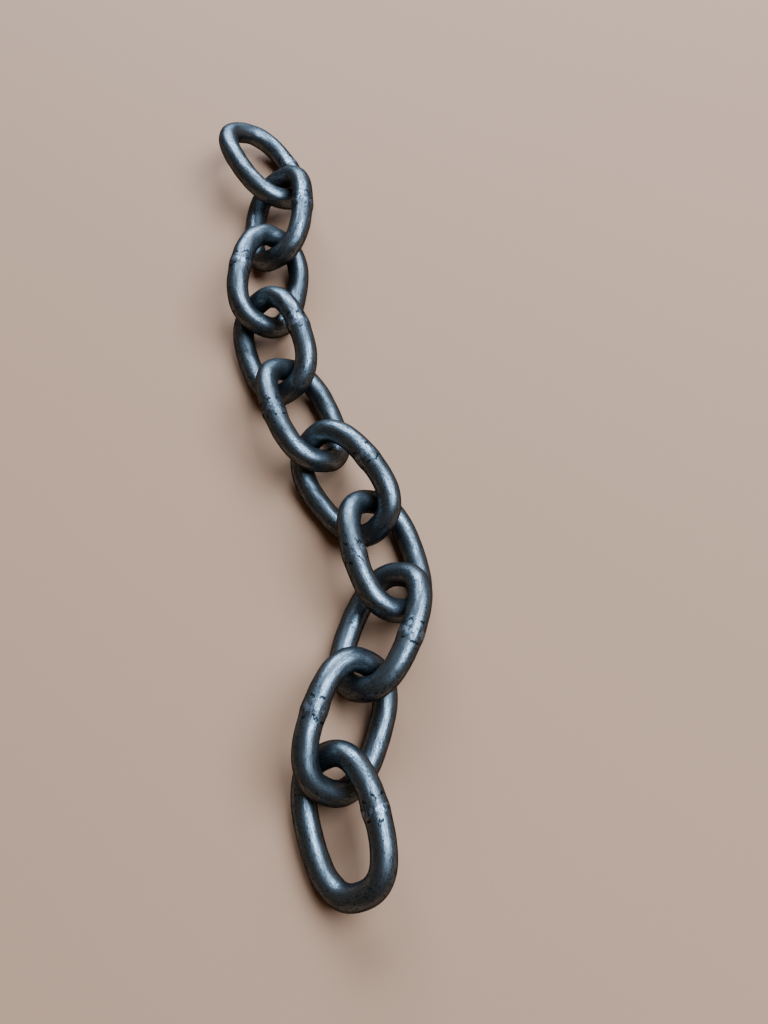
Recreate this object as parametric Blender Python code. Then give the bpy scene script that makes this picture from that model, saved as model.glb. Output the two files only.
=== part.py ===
"""A short length of welded steel chain, lying loose in a gentle bend on a level surface.

Ten oval links of round wire, each threaded through the next. The near end of the
length is link_01, and +Y runs along the chain to its far end. Each link lies on one
of its legs, tilted to the left and to the right in turn. The origin is at the middle
of the length, on the surface.
"""
import math

import bmesh
import bpy
import numpy as np
from mathutils import Matrix, Vector

# Driving dimensions, in metres
WIRE = 0.0055
EYE_LENGTH = 0.0223
EYE_WIDTH = 0.0118
GAP = 0.0004
WELD_RISE = 0.0002
WELD_WIDTH = 0.0036

# Form of a link: 2 is an ellipse, and a large number is a rectangle
OVAL = 2.5

# How each link lies: heading in degrees to the left of +Y, tilt in degrees with its
# left leg up, pitch in degrees with its far end up, and in millimetres how far it is
# pushed back towards the link before, and how far it has slid to its left
LIE = (
    ("link_01", 17, -35, 0, 0.0, 0.0),
    ("link_02", -17, 39, 0, 0.5, -0.4),
    ("link_03", -20, -36, 0, 0.0, 0.0),
    ("link_04", 16, 36, 0, 0.6, -0.3),
    ("link_05", 37, -38, 0, 0.6, 0.5),
    ("link_06", 22, 38, 0, 0.0, 0.0),
    ("link_07", 21, -36, 0, 0.0, 0.2),
    ("link_08", -7, 38, 0, 0.0, 0.0),
    ("link_09", 0, -36, 0, 0.0, 0.0),
    ("link_10", 30, 32, 2, 0.3, -0.2),
)

# The link that the others hang on in the tree of joints
ROOT = 4

# Fineness of the mesh, of the centreline that it is measured along, and of the search
# for the place where two links nearly touch
RINGS = 40
SIDES = 12
FINE = 9600
SAMPLES = 240
STEP = 0.0001
MILLIMETRE = 0.001

# Heading of +Y, in degrees from +X
AHEAD = 90

STEEL = (0.052, 0.055, 0.060, 1.0)
STEEL_ROUGHNESS = 0.38


def centreline(count, offset):
    """Points of a link's centreline, evenly spaced, and its tangents, in the link's plane.

    The line is |x / a|^n + |y / b|^n = 1, with the link's length along x. offset is
    the first point's distance from the middle of the left leg, in steps.
    """
    half_length = (EYE_LENGTH + WIRE) / 2
    half_width = (EYE_WIDTH + WIRE) / 2
    turn = np.linspace(math.pi / 2, math.pi / 2 - 2 * math.pi, FINE + 1)
    cosine, sine = np.cos(turn), np.sin(turn)
    x = half_length * np.sign(cosine) * np.abs(cosine) ** (2 / OVAL)
    y = half_width * np.sign(sine) * np.abs(sine) ** (2 / OVAL)
    along = np.concatenate(([0], np.cumsum(np.hypot(np.diff(x), np.diff(y)))))
    wanted = (np.arange(count) + offset) * along[-1] / count
    points = np.stack((np.interp(wanted, along, x), np.interp(wanted, along, y)), 1)
    chord = np.roll(points, -1, 0) - np.roll(points, 1, 0)
    return points, chord / np.linalg.norm(chord, axis=1)[:, None]


def link_mesh(name, tilt):
    """The closed mesh of one link, with the weld swelling at the middle of its upper leg.

    The wire's section is turned so that one of its flat sides faces straight down on
    the lower leg when the link lies at its tilt.
    """
    weld_side = math.copysign(1, tilt)
    points, tangents = centreline(RINGS, 0.5)
    mesh = bmesh.new()
    rings = []
    for (x, y), (along_x, along_y) in zip(points, tangents):
        from_weld = x if y * weld_side > 0 else EYE_LENGTH
        radius = WIRE / 2 + WELD_RISE * math.exp(-(2 * from_weld / WELD_WIDTH) ** 2)
        ring = []
        for side in range(SIDES):
            angle = math.radians(abs(tilt)) + 2 * math.pi * (side + 0.5) / SIDES
            out = radius * math.cos(angle)
            ring.append(mesh.verts.new((x - along_y * out, y + along_x * out, radius * math.sin(angle))))
        rings.append(ring)
    for ring, following in zip(rings, rings[1:] + rings[:1]):
        for side in range(SIDES):
            other = (side + 1) % SIDES
            mesh.faces.new((ring[side], ring[other], following[other], following[side]))
    bmesh.ops.recalc_face_normals(mesh, faces=mesh.faces)
    data = bpy.data.meshes.new(name)
    mesh.to_mesh(data)
    mesh.free()
    data.shade_smooth()
    return data


def attitude(heading, tilt, pitch):
    """The link's turn: its length towards the heading, then its tilt about its length."""
    turn = Matrix.Rotation(math.radians(AHEAD + heading), 4, "Z")
    turn = turn @ Matrix.Rotation(math.radians(-pitch), 4, "Y")
    return turn @ Matrix.Rotation(math.radians(tilt), 4, "X")


def moved(points, matrix):
    """Points, as rows, carried by a matrix."""
    table = np.array(matrix)
    return points @ table[:3, :3].T + table[:3, 3]


def in_space(flat):
    """Points of the link's plane as points in space."""
    return np.column_stack((flat, np.zeros(len(flat))))


def distances(first, second):
    """The distances between all points of one line and all points of another."""
    return np.linalg.norm(first[:, None] - second[None], axis=2)


def drawn_out(others, own, base, ahead):
    """How far ahead of base a link reaches before its wire comes within GAP of the other's."""
    reach = EYE_LENGTH
    while reach > EYE_LENGTH / 2:
        middle = np.array(base + ahead * reach)
        if distances(others, own + middle).min() >= WIRE + GAP:
            return reach
        reach -= STEP
    raise ValueError("no room between two links")


def lay_out(meshes):
    """The world matrix of each link, from the near end of the length to its far end.

    A link stands with its lowest point at z = 0. Its middle lies ahead of the middle
    of the link before, along the mean of their headings, and a little to one side. It
    is drawn out as far as the wires of both let it be with GAP between them, and then
    pushed back.
    """
    line = in_space(centreline(SAMPLES, 0)[0])
    placed = []
    for (name, heading, tilt, pitch, back, aside), data in zip(LIE, meshes):
        turn = attitude(heading, tilt, pitch)
        lowest = min((turn @ corner.co).z for corner in data.vertices)
        middle = Vector((0, 0, -lowest))
        if placed:
            before, last_heading = placed[-1]
            towards = math.radians(AHEAD + (heading + last_heading) / 2)
            ahead = Vector((math.cos(towards), math.sin(towards), 0))
            left = Vector((-ahead.y, ahead.x, 0))
            base = Vector((before.translation.x, before.translation.y, -lowest))
            base += left * aside * MILLIMETRE
            reach = drawn_out(moved(line, before), moved(line, turn), base, ahead)
            middle = base + ahead * (reach - back * MILLIMETRE)
        placed.append((Matrix.Translation(middle) @ turn, heading))
    return [matrix for matrix, heading in placed]


def hinge(parent, child):
    """The point and the direction about which the child swings on the parent's wire.

    The point is the middle of the parent's crown at the end where the child hangs,
    and the direction is the wire's own there.
    """
    crown = (EYE_LENGTH + WIRE) / 2
    towards = (parent.inverted() @ child).translation.x
    point = parent @ Vector((math.copysign(crown, towards), 0, 0))
    return point, parent.to_3x3() @ Vector((0, 1, 0))


def centred(matrices, meshes):
    """The matrices shifted so that the box of all the links has its middle at x = y = 0."""
    corners = [matrix @ corner.co for matrix, data in zip(matrices, meshes) for corner in data.vertices]
    middle = Vector((0, 0, 0))
    for axis in range(2):
        values = [corner[axis] for corner in corners]
        middle[axis] = (min(values) + max(values)) / 2
    return [Matrix.Translation(-middle) @ matrix for matrix in matrices]


def steel(name):
    """Dark bare steel, as it comes from the bending machine."""
    material = bpy.data.materials.new(name)
    material.use_nodes = True
    surface = material.node_tree.nodes["Principled BSDF"]
    surface.inputs["Base Color"].default_value = STEEL
    surface.inputs["Metallic"].default_value = 1.0
    surface.inputs["Roughness"].default_value = STEEL_ROUGHNESS
    return material


def add_link(index, data, matrices, parent_index, parent_object):
    """One link's object, on an empty that stands on the axis it swings about."""
    name = LIE[index][0]
    link = bpy.data.objects.new(name, data)
    data.materials.append(steel(name + "_steel"))
    bpy.context.collection.objects.link(link)
    if parent_object is None:
        link.matrix_basis = matrices[index]
        return link
    point, direction = hinge(matrices[parent_index], matrices[index])
    stand = Matrix.Translation(point) @ direction.to_track_quat("Z", "Y").to_matrix().to_4x4()
    pivot = bpy.data.objects.new(name + "_pivot", None)
    pivot.empty_display_size = WIRE
    bpy.context.collection.objects.link(pivot)
    pivot.parent = parent_object
    pivot.matrix_basis = matrices[parent_index].inverted() @ stand
    link.parent = pivot
    link.matrix_basis = stand.inverted() @ matrices[index]
    return link


def build():
    """All links, from the root link outwards to both ends."""
    for old in list(bpy.data.objects):
        bpy.data.objects.remove(old, do_unlink=True)
    meshes = [link_mesh(name, tilt) for name, heading, tilt, pitch, back, aside in LIE]
    matrices = centred(lay_out(meshes), meshes)
    links = {ROOT: add_link(ROOT, meshes[ROOT], matrices, None, None)}
    for index in range(ROOT + 1, len(LIE)):
        links[index] = add_link(index, meshes[index], matrices, index - 1, links[index - 1])
    for index in range(ROOT - 1, -1, -1):
        links[index] = add_link(index, meshes[index], matrices, index + 1, links[index + 1])
    bpy.context.view_layer.update()


build()
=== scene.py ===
"""A short length of welded steel chain, dressed for its picture.

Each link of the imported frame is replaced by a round, finely meshed one with its butt weld,
its dents and its drawn surface. The script is laid out as an add-on and is run as a script.
"""

import math

import bpy
import numpy as np
from mathutils import Matrix


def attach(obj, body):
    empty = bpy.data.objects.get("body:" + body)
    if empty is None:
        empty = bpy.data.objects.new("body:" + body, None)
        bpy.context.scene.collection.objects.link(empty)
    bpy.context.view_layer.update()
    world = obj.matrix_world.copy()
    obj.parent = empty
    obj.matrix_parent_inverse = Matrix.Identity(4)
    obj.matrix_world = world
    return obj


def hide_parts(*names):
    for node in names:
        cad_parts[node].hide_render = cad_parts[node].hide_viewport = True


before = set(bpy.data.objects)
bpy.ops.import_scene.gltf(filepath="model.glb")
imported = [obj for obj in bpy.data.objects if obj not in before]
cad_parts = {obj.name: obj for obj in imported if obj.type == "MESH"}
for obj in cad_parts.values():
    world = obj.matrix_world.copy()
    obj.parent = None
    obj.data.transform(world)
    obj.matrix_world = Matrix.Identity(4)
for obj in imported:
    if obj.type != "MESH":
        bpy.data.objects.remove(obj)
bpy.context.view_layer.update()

bl_info = {
    "name": "Welded chain",
    "version": (1, 0, 0),
    "blender": (4, 5, 0),
    "location": "View3D > Sidebar > Chain",
    "description": "Dresses a length of welded steel chain and sets its stage",
    "category": "Object",
}

LINKS = sorted(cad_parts)
MM = 0.001

# How many decimals of a metre tell one point of the frame's meshes from another
SAME_POINT = 7

# How many wires a link is larger than its eye: in length, in width, and in height, where
# there is no eye
WIRES_ROUND_EYE = (2, 2, 1)

# How far a link of the frame may differ from the sizes given here, in millimetres
SIZE_SLACK = 1.0

# How closely the link's centreline is sampled before rings are spaced along it
FINE = 7200

# Rings over the weld and over the rest of a link, and points round each ring
WELD_RINGS = 72
PLAIN_RINGS = 216
SIDES = 96

# Half of the length of wire, in millimetres, over which the rings lie close together
WELD_ZONE = 3.5

# How far apart the surface patterns of two links are taken, in millimetres
PATTERN_STEP = 37.0

# Unevenness of the wire and of its weld, as waves: how many, and the most of them along a
# link and round the wire
WAVES = (24, 16, 4)
LUMPS = (60, 60, 11)

# How much the weld's lumps change its swelling
LUMPY_WELD = 0.09

# The seams' wandering, their jagged teeth and their closed stretches, as waves again
SEAM_BENDS = (9, 0, 7)
SEAM_TEETH = (24, 0, 38)
SEAM_GAPS = (10, 0, 9)

# How steeply a seam opens out of its closed stretches
SEAM_GAPE = 1.6

# The side of the wire on which a seam is widest open, and how far that varies, in turns
# round the wire from the inside of the link
SEAM_SIDE = 0.34
SEAM_SIDE_SPREAD = 0.11

# Dents: radius in millimetres, how many times longer than wide, and depth as a share of
# the deepest
DENT_RADIUS = (0.16, 0.5)
DENT_STRETCH = (1.0, 3.2)
DENT_SHARE = (0.25, 1.0)

# Links whose weld lies on the leg that is down
WELD_DOWN = ("link_10",)

# How scuffed each link is all over, as a share of how scuffed it is at its weld
SCUFFED = {
    "link_01": 0.0, "link_02": 0.1, "link_03": 0.2, "link_04": 0.3, "link_05": 0.2,
    "link_06": 0.3, "link_07": 0.4, "link_08": 0.4, "link_09": 0.4, "link_10": 0.15,
}

# Patterns on the wire: the size of a spot across the wire and along it in millimetres,
# and the noise's detail and roughness. The die's lines are really some hundredths of a
# millimetre wide and the grain finer still. Both would vanish in the render, so they are
# drawn as coarse as it needs to show them.
PATTERNS = {
    "lines": (0.22, 2.6, 2.0, 0.55),
    "combing": (0.55, 2.4, 3.0, 0.6),
    "patches": (1.7, 4.5, 3.0, 0.6),
    "grain": (0.3, 0.42, 1.0, 0.6),
    "pits": (0.36, 0.8, 4.0, 0.7),
    "facets": (1.5, 1.8, 2.0, 0.5),
}

# Masks on the wire, in the order in which they are made: what each sums and by what
# weight, where the sum starts to count and where it counts in full, and the mask there.
# streaked is the die's broken lines, worn is where handling rubs, and lined is the dark
# between the lines. pitted and speckled are the scale's pits and specks, knocked is the
# weld's bare facets, seamed is the open seams, and dark is all black scale together.
# relief is the height of the surface, and dull is how rough it is.
MASKS = {
    "streaked": ({"lines": 0.65, "combing": 0.35}, 0.42, 0.58, 1.0),
    "worn": ({"patches": 0.7, "streaked": 0.16, "grain": 0.22}, 0.44, 0.66, 1.0),
    "lined": ({"streaked": -1.0}, -1.0, 0.0, 0.13),
    "pitted": ({"pits": 1.0, "scuffs": 0.07}, 0.592, 0.622, 0.85),
    "speckled": ({"grain": 1.0, "patches": 0.4}, 0.785, 0.825, 0.8),
    "knocked": ({"facets": 1.0, "scuffs": 0.5}, 0.96, 1.04, 0.9),
    "seamed": ({"groove": 1.0}, 0.16, 0.42, 1.0),
    "dark": ({"pitted": 0.85, "speckled": 0.85, "seamed": 1.0}, 0.0, 1.0, 0.92),
    "relief": ({"lines": 0.3, "combing": 0.35, "grain": 0.35}, 0.2, 0.8, 1.0),
    "dull": ({"streaked": -0.35, "worn": -0.45, "dark": 0.8}, -0.8, 0.6, 1.0),
}

# How high the relief of the drawn surface stands, in millimetres
RELIEF = 0.026

# The two windows: where each stands, and its width and height
SIDE_WINDOW = ((0.57, 0.12, 0.93), 0.85, 0.75)
BACK_WINDOW = ((-0.05, 0.95, 0.62), 0.85, 0.6)

# How bright the walls look to the camera. The light that they give is the stage's room.
WALL = 1.3

# The painted floor's roughness, and its gloss, where 0.5 is that of plain plastic
FLOOR_ROUGHNESS = 0.85
FLOOR_GLOSS = 0.2

# The height of the camera's sensor in millimetres, and the nearest that it sees in metres
SENSOR_HEIGHT = 36
NEAREST = 0.01


def linear(code):
    """The linear colour of an sRGB hex code, such as "#8090a0".

    By the sRGB standard, dark shares of a colour are divided by 12.92, and the rest follow
    ((share + 0.055) / 1.055)^2.4.
    """
    shares = [int(code[place:place + 2], 16) / 255 for place in (1, 3, 5)]
    return [share / 12.92 if share <= 0.04045 else ((share + 0.055) / 1.055) ** 2.4
            for share in shares]


class ChainLinkSizes(bpy.types.PropertyGroup):
    """Sizes of a link and of the marks on it."""
    wire: bpy.props.FloatProperty(
        name="Wire", description="Diameter of the wire", default=0.0055, unit="LENGTH")
    eye_length: bpy.props.FloatProperty(
        name="Eye length", description="Length inside the link",
        default=0.0223, unit="LENGTH")
    eye_width: bpy.props.FloatProperty(
        name="Eye width", description="Width inside the link",
        default=0.0118, unit="LENGTH")
    oval: bpy.props.FloatProperty(
        name="Oval", description="Power of the oval: 2 is an ellipse, more is squarer",
        default=2.5)
    weld_rise: bpy.props.FloatProperty(
        name="Weld rise", description="How far the wire swells at its weld",
        default=0.00021, unit="LENGTH")
    weld_width: bpy.props.FloatProperty(
        name="Weld width", description="Length of wire that the weld swells",
        default=0.0036, unit="LENGTH")
    seam_apart: bpy.props.FloatProperty(
        name="Seams apart", description="Length of wire between the weld's two seams",
        default=0.0042, unit="LENGTH")
    seam_depth: bpy.props.FloatProperty(
        name="Seam depth", description="Depth of the open seam across the weld",
        default=0.00005, unit="LENGTH")
    seam_width: bpy.props.FloatProperty(
        name="Seam width", description="Half of the width of the open seam",
        default=0.00024, unit="LENGTH")
    seam_wander: bpy.props.FloatProperty(
        name="Seam wander", description="How far the seam strays along the wire",
        default=0.0004, unit="LENGTH")
    seam_teeth: bpy.props.FloatProperty(
        name="Seam teeth", description="How far the seam's jagged edge juts out",
        default=0.0002, unit="LENGTH")
    uneven: bpy.props.FloatProperty(
        name="Uneven", description="How far the wire's surface strays from round",
        default=0.00003, unit="LENGTH")
    dent_depth: bpy.props.FloatProperty(
        name="Dent depth", description="Depth of the deepest dents",
        default=0.00005, unit="LENGTH")
    dents: bpy.props.IntProperty(
        name="Dents", description="Number of dents on a link", default=40, min=0)


class ChainFinish(bpy.types.PropertyGroup):
    """Colours and roughness of the steel."""
    rubbed: bpy.props.FloatVectorProperty(
        name="Rubbed steel", description="Where handling has rubbed the drawn surface bright",
        default=linear("#646869"), subtype="COLOR", size=3)
    drawn: bpy.props.FloatVectorProperty(
        name="Drawn steel", description="The wire's own colour after drawing",
        default=linear("#4f504e"), subtype="COLOR", size=3)
    scraped: bpy.props.FloatVectorProperty(
        name="Scraped steel", description="Where the weld's flash was knocked off",
        default=linear("#787d82"), subtype="COLOR", size=3)
    scale: bpy.props.FloatVectorProperty(
        name="Scale", description="Dark oxide in pits, streaks and seams",
        default=linear("#111213"), subtype="COLOR", size=3)
    edge: bpy.props.FloatVectorProperty(
        name="Grazing light", description="Tint of the light that glances off the wire",
        default=linear("#988b7e"), subtype="COLOR", size=3)
    smooth: bpy.props.FloatProperty(
        name="Smoothest", description="Roughness where the wire is rubbed", default=0.33,
        subtype="FACTOR", min=0, max=1)
    rough: bpy.props.FloatProperty(
        name="Roughest", description="Roughness where scale lies", default=0.5,
        subtype="FACTOR", min=0, max=1)


class ChainStage(bpy.types.PropertyGroup):
    """Floor, lights and camera."""
    floor: bpy.props.FloatVectorProperty(
        name="Floor", description="Colour of the floor", default=linear("#8a6145"),
        subtype="COLOR", size=3)
    floor_size: bpy.props.FloatProperty(
        name="Floor size", description="Side of the square floor", default=2.2, unit="LENGTH")
    side_power: bpy.props.FloatProperty(
        name="Side window", description="Power of the soft light from the right",
        default=64.0)
    back_power: bpy.props.FloatProperty(
        name="Back window", description="Power of the soft light from behind",
        default=54.0)
    sky: bpy.props.FloatVectorProperty(
        name="Sky", description="Colour of the light in both windows",
        default=linear("#b2d4fb"), subtype="COLOR", size=3)
    walls: bpy.props.FloatVectorProperty(
        name="Walls", description="Colour of the room's walls", default=linear("#e6d2b6"),
        subtype="COLOR", size=3)
    room: bpy.props.FloatProperty(
        name="Room", description="Strength of the light from all round", default=0.205)
    camera_place: bpy.props.FloatVectorProperty(
        name="Camera", description="Where the camera stands",
        default=(0.01796, -0.10545, 0.19613), subtype="XYZ", unit="LENGTH", size=3)
    camera_down: bpy.props.FloatProperty(
        name="Looking down", description="How far below level the camera looks",
        default=math.radians(65.43), unit="ROTATION")
    camera_roll: bpy.props.FloatProperty(
        name="Roll", description="Turn of the camera about its own line of sight",
        default=math.radians(0.29), unit="ROTATION")
    camera_lens: bpy.props.FloatProperty(
        name="Lens", description="Focal length in millimetres", default=31.3)


def centreline(sizes):
    """A link's centreline in its own plane, and the distance along it, closely sampled.

    The line is |x / a|^n + |y / b|^n = 1, with x along the link, written with a turning
    angle t as x = a cos(t)^(2/n), y = b sin(t)^(2/n), the signs kept. It starts in the
    middle of the leg at -y, so the leg at +y is half way along.
    """
    half_length = (sizes.eye_length + sizes.wire) / 2
    half_width = (sizes.eye_width + sizes.wire) / 2
    turn = np.linspace(-math.pi / 2, 3 * math.pi / 2, FINE + 1)
    cosine, sine = np.cos(turn), np.sin(turn)
    x = half_length * np.sign(cosine) * np.abs(cosine) ** (2 / sizes.oval)
    y = half_width * np.sign(sine) * np.abs(sine) ** (2 / sizes.oval)
    along = np.concatenate(([0], np.cumsum(np.hypot(np.diff(x), np.diff(y)))))
    return x, y, along


def rings_along(length):
    """Places of the rings, from 0 to length, close together about the weld at the middle."""
    middle = length / 2
    zone = WELD_ZONE * MM
    close = np.linspace(middle - zone, middle + zone, WELD_RINGS + 1)
    before = np.linspace(0, middle - zone, PLAIN_RINGS // 2 + 1)[:-1]
    after = np.linspace(middle + zone, length, PLAIN_RINGS // 2 + 1)[1:-1]
    return np.concatenate((before, close, after))


def ripples(random, along, around, waves):
    """Smooth unevenness between about -1 and 1, that closes on itself both ways.

    It is a sum of cosines of whole-number waves along and around, with random phases, over
    the square root of their number. waves gives their number and the most of each kind.
    """
    count, most_along, most_around = waves
    steps_along = random.integers(-most_along, most_along + 1, count)
    steps_around = random.integers(-most_around, most_around + 1, count)
    phase = random.uniform(0, 2 * math.pi, count)
    turn = along[:, None, None] * steps_along + around[None, :, None] * steps_around + phase
    return np.cos(turn).sum(2) / math.sqrt(count)


def wrapped(difference, whole):
    """Differences round a closed line, between minus half and plus half of the whole."""
    return (difference + whole / 2) % whole - whole / 2


def dented(random, count, length, around, along, radius):
    """Dents from 0 to 1 deep: each is a bell exp(-(d/w)^2) of the distance d from its middle.

    Most are small and drawn out along the wire. Where two meet, the deeper one counts.
    """
    depth = np.zeros((len(along), len(around)))
    middles = random.uniform(0, length, count)
    turns = random.uniform(0, 2 * math.pi, count)
    widths = random.uniform(*DENT_RADIUS, count) * MM
    stretches = random.uniform(*DENT_STRETCH, count)
    shares = random.uniform(*DENT_SHARE, count)
    for middle, turn, width, stretch, share in zip(middles, turns, widths, stretches, shares):
        gone = wrapped(along - middle, length)[:, None] / (width * stretch)
        over = radius * wrapped(around - turn, 2 * math.pi)[None, :] / width
        depth = np.maximum(depth, share * np.exp(-gone ** 2 - over ** 2))
    return depth


def seams(random, sizes, from_weld, around):
    """The two open seams beside the weld, from 0 to 1 deep.

    Each is a bell exp(-(d/w)^2) of the distance d from a line round the wire that wanders
    and has teeth. It is open by a share that varies round the wire, and is turned so that
    it is most open near the side that faces up.
    """
    level = np.zeros(1)
    depth = np.zeros((len(from_weld), len(around)))
    for side in (-1, 1):
        line = side * sizes.seam_apart / 2
        line = line + sizes.seam_wander * ripples(random, level, around, SEAM_BENDS)[0]
        line = line + sizes.seam_teeth * ripples(random, level, around, SEAM_TEETH)[0]
        share = ripples(random, level, around, SEAM_GAPS)[0]
        most_open = SEAM_SIDE + random.uniform(-SEAM_SIDE_SPREAD, SEAM_SIDE_SPREAD)
        share = np.roll(share, round(most_open * len(around)) - share.argmax())
        share = np.clip(SEAM_GAPE * share, 0, 1)
        bell = np.exp(-((from_weld[:, None] - line[None, :]) / sizes.seam_width) ** 2)
        depth = np.maximum(depth, bell * share[None, :])
    return depth


def link_surface(sizes, seed, scuffed):
    """The points of one link in its own plane, and what its material needs at each.

    A point is the centreline's point, plus its radius times cos(v) across the wire in
    the link's plane and sin(v) out of that plane. The radius is the wire's, plus a bell
    round the weld, plus ripples, less the dents and the seams. The material gets the
    point's place on two circles in millimetres, one round the wire and one along the link,
    so that its patterns close on themselves. place holds x and y of the first and x of the
    second, moved on a step from link to link, and marks holds y of the second, how scuffed
    the point is, and how open a seam is there.
    """
    random = np.random.default_rng(seed)
    x, y, fine = centreline(sizes)
    length = fine[-1]
    along = rings_along(length)
    around = 2 * math.pi * np.arange(SIDES) / SIDES
    places = np.stack((np.interp(along, fine, x), np.interp(along, fine, y)), 1)
    step = length / FINE
    ahead, behind = (np.stack([np.interp(along + shift, fine, line, period=length)
                               for line in (x, y)], 1) for shift in (step, -step))
    forward = ahead - behind
    forward /= np.linalg.norm(forward, axis=1)[:, None]

    turn = 2 * math.pi * along / length
    from_weld = along - length / 2
    collar = np.exp(-(2 * from_weld / sizes.weld_width) ** 2)[:, None]
    groove = seams(random, sizes, from_weld, around)
    lumps = ripples(random, turn, around, LUMPS)
    waves = ripples(random, turn, around, WAVES)
    dents = dented(random, sizes.dents, length, around, along, sizes.wire / 2)
    radius = sizes.wire / 2 + sizes.weld_rise * collar * (1 + LUMPY_WELD * lumps)
    radius = radius + sizes.uneven * waves
    radius = radius - sizes.dent_depth * dents - sizes.seam_depth * groove

    across = radius * np.cos(around)
    out = radius * np.sin(around)
    points = np.stack((places[:, 0, None] - forward[:, 1, None] * across,
                       places[:, 1, None] + forward[:, 0, None] * across, out), 2)
    ring_radius = sizes.wire / 2 / MM
    link_radius = length / (2 * math.pi) / MM
    ring_x = ring_radius * np.cos(around)[None, :]
    ring_y = ring_radius * np.sin(around)[None, :]
    link_x = link_radius * np.cos(turn)[:, None] + seed * PATTERN_STEP
    link_y = link_radius * np.sin(turn)[:, None]
    scuffs = np.maximum(collar, scuffed)
    place = np.stack(np.broadcast_arrays(ring_x, ring_y, link_x), 2)
    marks = np.stack(np.broadcast_arrays(link_y, scuffs, groove), 2)
    return points, {"place": place, "marks": marks}


def ring_faces(rows, columns):
    """Four-sided faces of a grid that closes both ways, as rows of four point numbers."""
    row, column = np.meshgrid(np.arange(rows), np.arange(columns), indexing="ij")
    below, beside = (row + 1) % rows, (column + 1) % columns
    corners = (row * columns + column, row * columns + beside,
               below * columns + beside, below * columns + column)
    return np.stack(corners, 2).reshape(-1, 4)


def piece_from(name, points, faces, attributes, material):
    """An object at the origin, with these points and faces, and vectors at each point."""
    mesh = bpy.data.meshes.new(name)
    mesh.vertices.add(len(points))
    mesh.vertices.foreach_set("co", points.astype(np.float32).ravel())
    mesh.loops.add(faces.size)
    mesh.loops.foreach_set("vertex_index", faces.astype(np.int32).ravel())
    mesh.polygons.add(len(faces))
    starts = np.arange(len(faces)) * faces.shape[1]
    mesh.polygons.foreach_set("loop_start", starts.astype(np.int32))
    mesh.update(calc_edges=True)
    mesh.polygons.foreach_set("use_smooth", np.ones(len(faces), bool))
    for key, values in attributes.items():
        layer = mesh.attributes.new(key, "FLOAT_VECTOR", "POINT")
        layer.data.foreach_set("vector", values.reshape(-1).astype(np.float32))
    mesh.validate()
    mesh.materials.append(material)
    piece = bpy.data.objects.new(name, mesh)
    bpy.context.scene.collection.objects.link(piece)
    return piece


def lie(node, sizes):
    """Where a link of the frame lies: its middle, and its length, width and height as rows.

    The mean of the mesh's points is the link's middle, and the directions in which they
    spread most and second most are its length and its width. The length points to +Y, the
    height up, and the width to the link's left.
    """
    corners = np.zeros(len(node.data.vertices) * 3)
    node.data.vertices.foreach_get("co", corners)
    corners = np.unique(np.round(corners.reshape(-1, 3), SAME_POINT), axis=0)
    middle = corners.mean(0)
    spread = np.linalg.svd(corners - middle, full_matrices=False)[2]
    length = spread[0] * np.sign(spread[0][1])
    height = spread[2] * np.sign(spread[2][2])
    directions = np.stack((length, np.cross(height, length), height))
    measured = np.ptp((corners - middle) @ directions.T, axis=0)
    eye = np.array((sizes.eye_length, sizes.eye_width, 0))
    expected = eye + np.array(WIRES_ROUND_EYE) * sizes.wire
    if np.abs(measured - expected).max() > SIZE_SLACK * MM:
        raise ValueError(node.name + " is not a link of these sizes")
    return middle, directions


def new_node(tree, kind, settings=None, **links):
    """A shader node with its settings, and its inputs linked or set.

    An input goes by its name, with _ for a space, or by its number, written as in_3.
    """
    made = tree.nodes.new(kind)
    for key, value in (settings or {}).items():
        setattr(made, key, value)
    for key, value in links.items():
        wanted = int(key[3:]) if key.startswith("in_") else key.replace("_", " ")
        socket = made.inputs[wanted]
        if isinstance(value, bpy.types.NodeSocket):
            tree.links.new(value, socket)
        else:
            socket.default_value = value
    return made


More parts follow.
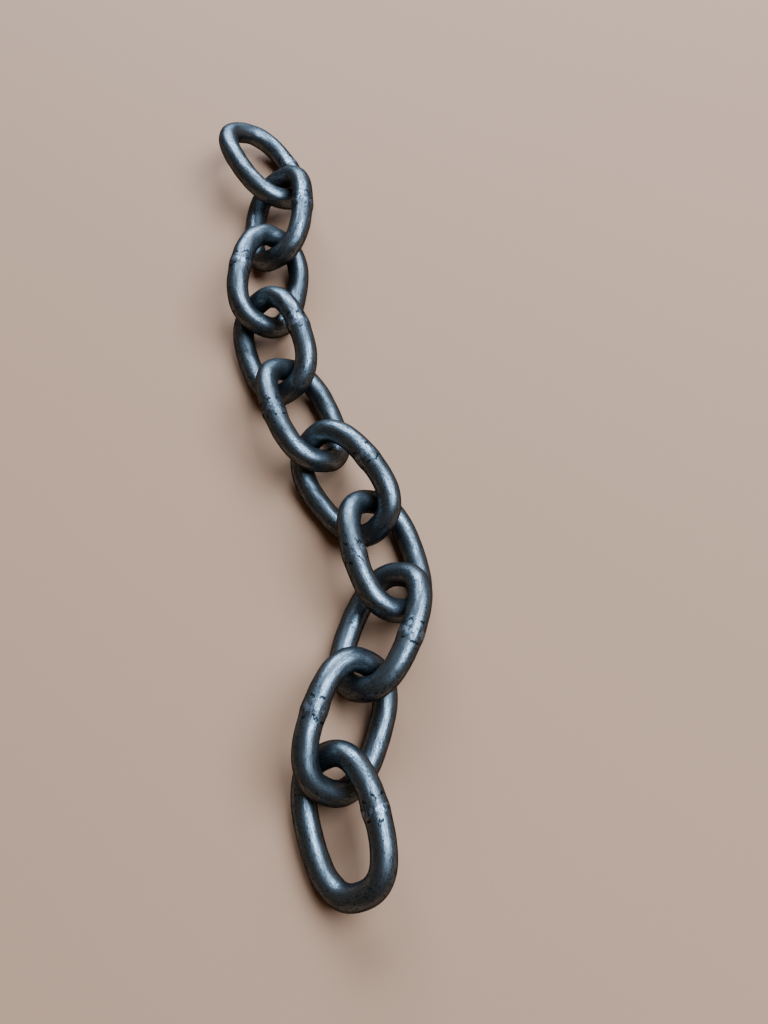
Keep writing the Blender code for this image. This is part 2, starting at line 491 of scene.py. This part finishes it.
def drawn_steel(finish):
    """Self-coloured drawn steel, bent cold and butt welded.

    The die leaves fine lines along the wire, so the light on it is combed into streaks.
    Dark scale stays in the lines and in pits of about half a millimetre, and handling rubs
    the rest brighter and smoother. At the weld the flash was knocked off, which leaves
    bare, paler facets between two black, jagged seams.
    """
    material = bpy.data.materials.new("self_coloured_drawn_steel")
    material.use_nodes = True
    tree = material.node_tree
    tree.nodes.clear()
    place, marks = (new_node(tree, "ShaderNodeAttribute", {"attribute_name": key})
                    .outputs["Vector"] for key in ("place", "marks"))
    link_turn, scuffs, groove = new_node(tree, "ShaderNodeSeparateXYZ", Vector=marks).outputs
    value = {"scuffs": scuffs, "groove": groove}
    for name, (across, along, detail, roughness) in PATTERNS.items():
        spot = new_node(tree, "ShaderNodeVectorMath", {"operation": "MULTIPLY"},
                        in_0=place, in_1=(1 / across, 1 / across, 1 / along))
        turn = new_node(tree, "ShaderNodeMath", {"operation": "MULTIPLY"},
                        in_0=link_turn, in_1=1 / along)
        value[name] = new_node(
            tree, "ShaderNodeTexNoise", {"noise_dimensions": "4D"}, Vector=spot.outputs[0],
            W=turn.outputs[0], Scale=1.0, Detail=detail, Roughness=roughness).outputs[0]
    for name, (weights, low, high, full) in MASKS.items():
        parts = dict(zip("XYZ", (value[part] for part in weights)))
        weight = (list(weights.values()) + [0, 0])[:3]
        vector = new_node(tree, "ShaderNodeCombineXYZ", **parts).outputs[0]
        total = new_node(tree, "ShaderNodeVectorMath", {"operation": "DOT_PRODUCT"},
                         in_0=vector, in_1=weight)
        value[name] = new_node(
            tree, "ShaderNodeMapRange", {"interpolation_type": "SMOOTHSTEP"},
            Value=total.outputs["Value"], in_1=low, in_2=high, in_4=full).outputs[0]

    colour = list(finish.drawn) + [1]
    for name, tint in (("worn", finish.rubbed), ("lined", finish.scale),
                       ("knocked", finish.scraped), ("dark", finish.scale)):
        colour = new_node(tree, "ShaderNodeMix", {"data_type": "RGBA"}, in_0=value[name],
                          in_6=colour, in_7=list(tint) + [1]).outputs[2]
    roughness = new_node(tree, "ShaderNodeMix", in_0=value["dull"], in_2=finish.smooth,
                         in_3=finish.rough)
    bump = new_node(tree, "ShaderNodeBump", Strength=1.0, Distance=RELIEF * MM,
                    Height=value["relief"])
    surface = new_node(tree, "ShaderNodeBsdfPrincipled", Base_Color=colour, Metallic=1.0,
                       Roughness=roughness.outputs[0], Normal=bump.outputs[0],
                       Specular_Tint=list(finish.edge) + [1])
    new_node(tree, "ShaderNodeOutputMaterial", Surface=surface.outputs[0])
    return material


def painted_board(colour):
    """Matt painted board, rolled on smooth: an even, pale floor with no sheen."""
    material = bpy.data.materials.new("matt_painted_board")
    material.use_nodes = True
    surface = material.node_tree.nodes["Principled BSDF"]
    surface.inputs["Base Color"].default_value = list(colour) + [1]
    surface.inputs["Roughness"].default_value = FLOOR_ROUGHNESS
    surface.inputs["Specular IOR Level"].default_value = FLOOR_GLOSS
    return material


class CHAIN_OT_links(bpy.types.Operator):
    """Makes the ten dressed links, each in the place of its link in the frame"""
    bl_idname = "chain.links"
    bl_label = "Links"

    def execute(self, context):
        sizes = context.scene.chain_sizes
        steel = drawn_steel(context.scene.chain_finish)
        for number, name in enumerate(LINKS):
            middle, directions = lie(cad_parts[name], sizes)
            if (directions[1][2] < 0) != (name in WELD_DOWN):
                directions = np.stack((-directions[0], -directions[1], directions[2]))
            points, attributes = link_surface(sizes, number, SCUFFED[name])
            rows, columns = points.shape[:2]
            placed = points.reshape(-1, 3) @ directions + middle
            placed[:, 2] = np.maximum(placed[:, 2], 0.0)
            faces = ring_faces(rows, columns)
            piece = piece_from(name + "_dressed", placed, faces, attributes, steel)
            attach(piece, name)
            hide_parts(name)
        return {"FINISHED"}


def add_window(name, window, power, colour):
    """A soft rectangular light that faces the middle of the chain."""
    place, width, height = window
    data = bpy.data.lights.new(name, "AREA")
    data.shape = "RECTANGLE"
    data.size, data.size_y = width, height
    data.energy = power
    data.color = colour
    light = bpy.data.objects.new(name, data)
    back = np.array(place) / np.linalg.norm(place)
    side = np.cross((0, 0, 1), back)
    side /= np.linalg.norm(side)
    turn = Matrix(np.stack((side, np.cross(back, side), back), 1)).to_4x4()
    light.matrix_world = Matrix.Translation(place) @ turn
    bpy.context.scene.collection.objects.link(light)


class CHAIN_OT_stage(bpy.types.Operator):
    """Lays the floor and sets the lights and the camera"""
    bl_idname = "chain.stage"
    bl_label = "Stage"

    def execute(self, context):
        stage = context.scene.chain_stage
        half = stage.floor_size / 2
        corners = half * np.array([(-1, -1, 0), (1, -1, 0), (1, 1, 0), (-1, 1, 0)])
        face = np.array([(0, 1, 2, 3)])
        floor = piece_from("floor", corners, face, {}, painted_board(stage.floor))
        add_window("side_window", SIDE_WINDOW, stage.side_power, stage.sky)
        add_window("back_window", BACK_WINDOW, stage.back_power, stage.sky)
        world = bpy.data.worlds.new("room")
        context.scene.world = world
        world.use_nodes = True
        tree = world.node_tree
        pale = list(stage.walls) + [1]
        seen = new_node(tree, "ShaderNodeLightPath").outputs["Is Camera Ray"]
        dim = new_node(tree, "ShaderNodeBackground", Color=pale, Strength=stage.room)
        wall = new_node(tree, "ShaderNodeBackground", Color=pale, Strength=WALL)
        air = new_node(tree, "ShaderNodeMixShader", in_0=seen, in_1=dim.outputs[0],
                       in_2=wall.outputs[0])
        tree.links.new(air.outputs[0], tree.nodes["World Output"].inputs["Surface"])

        data = bpy.data.cameras.new("camera")
        data.sensor_fit = "VERTICAL"
        data.sensor_height = SENSOR_HEIGHT
        data.lens = stage.camera_lens
        data.clip_start = NEAREST
        camera = bpy.data.objects.new("camera", data)
        turn = Matrix.Rotation(math.pi / 2 - stage.camera_down, 4, "X")
        turn = turn @ Matrix.Rotation(stage.camera_roll, 4, "Z")
        camera.matrix_world = Matrix.Translation(stage.camera_place) @ turn
        context.scene.collection.objects.link(camera)
        context.scene.camera = camera
        return {"FINISHED"}


class CHAIN_PT_panel(bpy.types.Panel):
    """Shows the chain's sizes, colours and stage in the sidebar, with the buttons that make
    the pieces
    """
    bl_idname = "CHAIN_PT_panel"
    bl_label = "Chain"
    bl_space_type = "VIEW_3D"
    bl_region_type = "UI"
    bl_category = "Chain"

    def draw(self, context):
        """One box for each group, with the button that makes what it sizes or sets."""
        for key, operator in (("chain_sizes", "chain.links"), ("chain_finish", None),
                              ("chain_stage", "chain.stage")):
            group = getattr(context.scene, key)
            box = self.layout.box()
            for prop in group.bl_rna.properties:
                if prop.identifier not in ("rna_type", "name"):
                    box.prop(group, prop.identifier)
            if operator:
                box.operator(operator)


GROUPS = {
    "chain_sizes": ChainLinkSizes,
    "chain_finish": ChainFinish,
    "chain_stage": ChainStage,
}
CLASSES = (*GROUPS.values(), CHAIN_OT_links, CHAIN_OT_stage, CHAIN_PT_panel)


def register():
    """Registers the classes, and gives every scene the groups of sizes and colours."""
    for made in CLASSES:
        bpy.utils.register_class(made)
    for key, group in GROUPS.items():
        setattr(bpy.types.Scene, key, bpy.props.PointerProperty(type=group))


def unregister():
    """Takes back all that register did."""
    for key in GROUPS:
        delattr(bpy.types.Scene, key)
    for made in reversed(CLASSES):
        bpy.utils.unregister_class(made)


def main():
    """Registers the classes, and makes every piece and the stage."""
    register()
    bpy.ops.chain.links()
    bpy.ops.chain.stage()


if __name__ == "__main__":
    main()
